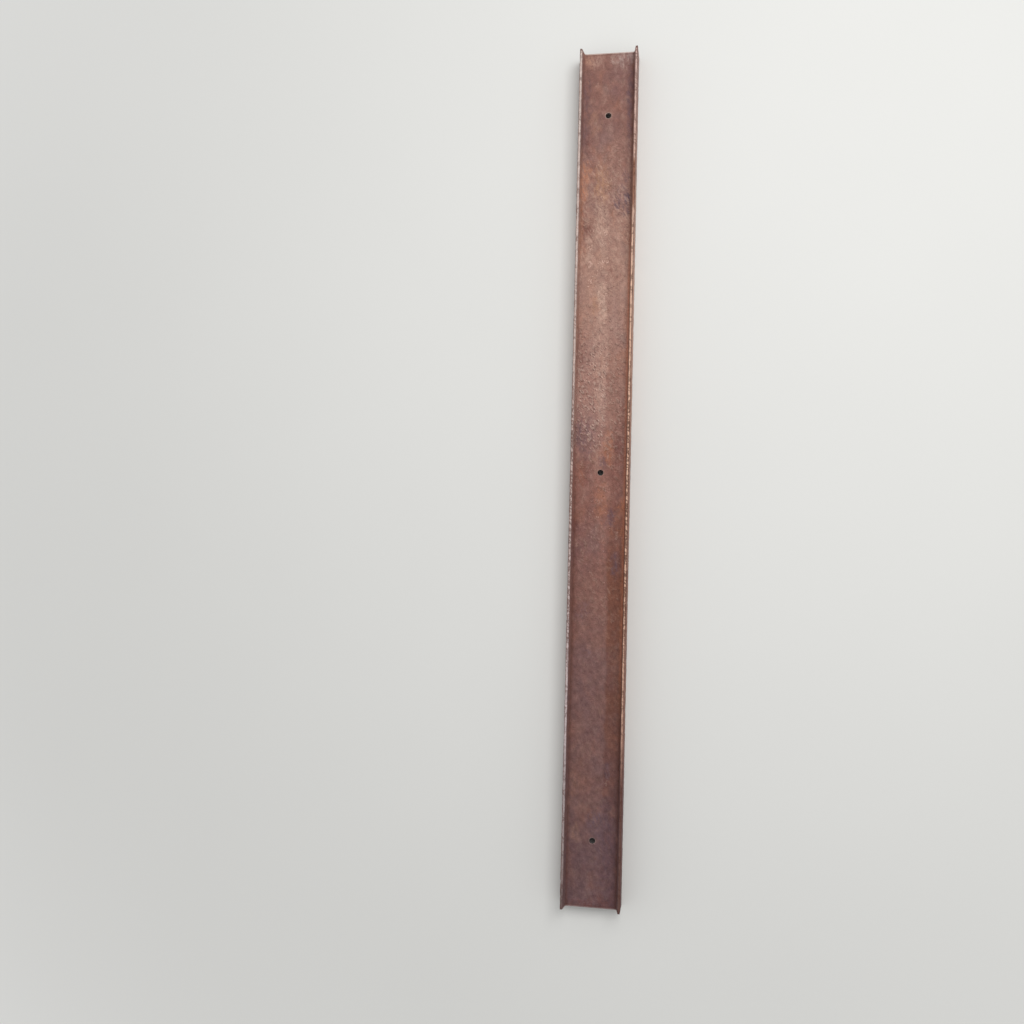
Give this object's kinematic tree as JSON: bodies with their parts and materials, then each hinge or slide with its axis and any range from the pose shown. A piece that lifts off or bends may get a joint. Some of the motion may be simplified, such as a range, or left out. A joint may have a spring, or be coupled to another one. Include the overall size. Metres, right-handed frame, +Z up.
{
  "type": "steel girder",
  "caption": "Length of hot-rolled steel I-section with tapered flanges and a row of bolt holes through its web, weathered to a full coat of rust.",
  "frame": {"origin": "under the middle of the girder, on the plane of the lower flange toes that it lies on", "axes": "+X across the depth of the section, square to the flanges; +Y along the girder; +Z up, square to the web"},
  "size_m": [0.18, 2.64, 0.082],
  "materials": {
    "rusted_steel": "hot-rolled mild steel, unpainted, with a matt coat of red-brown rust over dark mill scale"
  },
  "bodies": {
    "root": {"rolled_girder": "rusted_steel"}
  },
  "joints": []
}
